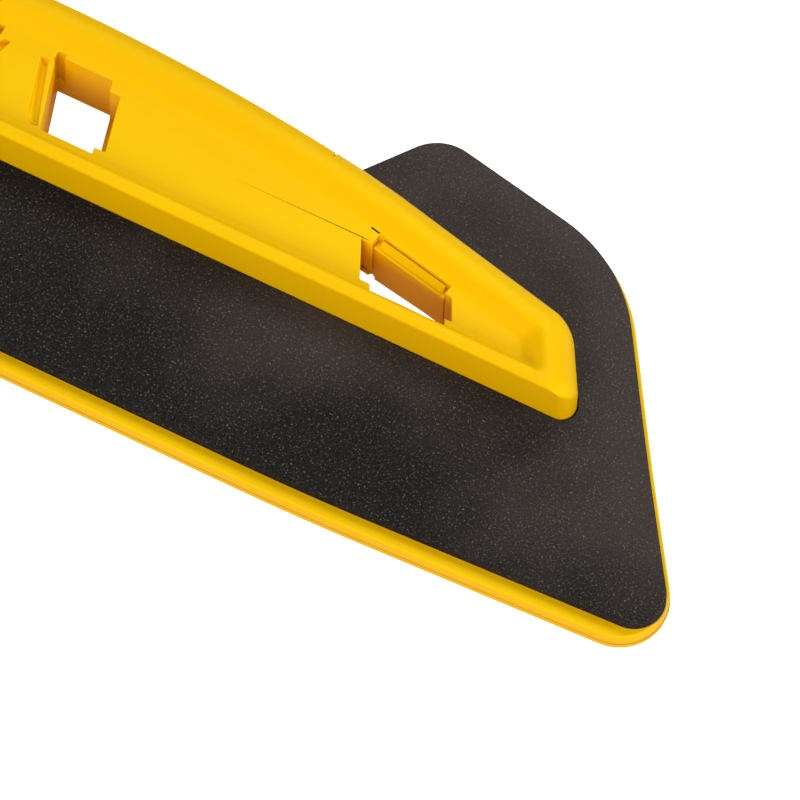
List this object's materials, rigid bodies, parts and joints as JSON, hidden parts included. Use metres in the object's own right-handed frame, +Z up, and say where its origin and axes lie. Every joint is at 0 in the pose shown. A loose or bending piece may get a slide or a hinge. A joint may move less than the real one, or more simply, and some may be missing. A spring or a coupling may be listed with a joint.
{
  "type": "squeegee applicator",
  "caption": "Wide hand squeegee applicator: a foam-topped plate with slanted ends and back ears, and a low recessed grip with through windows.",
  "frame": {"origin": "on the contact face, under the middle of the plate", "axes": "+X along the working edge, +Y from the working edge towards the ears, +Z up out of the grip"},
  "size_m": [0.303, 0.0777, 0.0178],
  "materials": {
    "grip_plastic": "satin moulded",
    "plate_plastic": "satin moulded",
    "sheet_plastic": "smooth and slightly soft",
    "foam": "fine closed-cell foam",
    "adhesive": "clear film",
    "screw_steel": "zinc plated"
  },
  "bodies": {
    "root": {"grip": "grip_plastic", "base_plate": "plate_plastic", "foam_pad": "foam", "foam_adhesive_film": "adhesive", "contact_sheet": "sheet_plastic", "sheet_adhesive_film": "adhesive", "grip_screws": "screw_steel"}
  },
  "joints": []
}
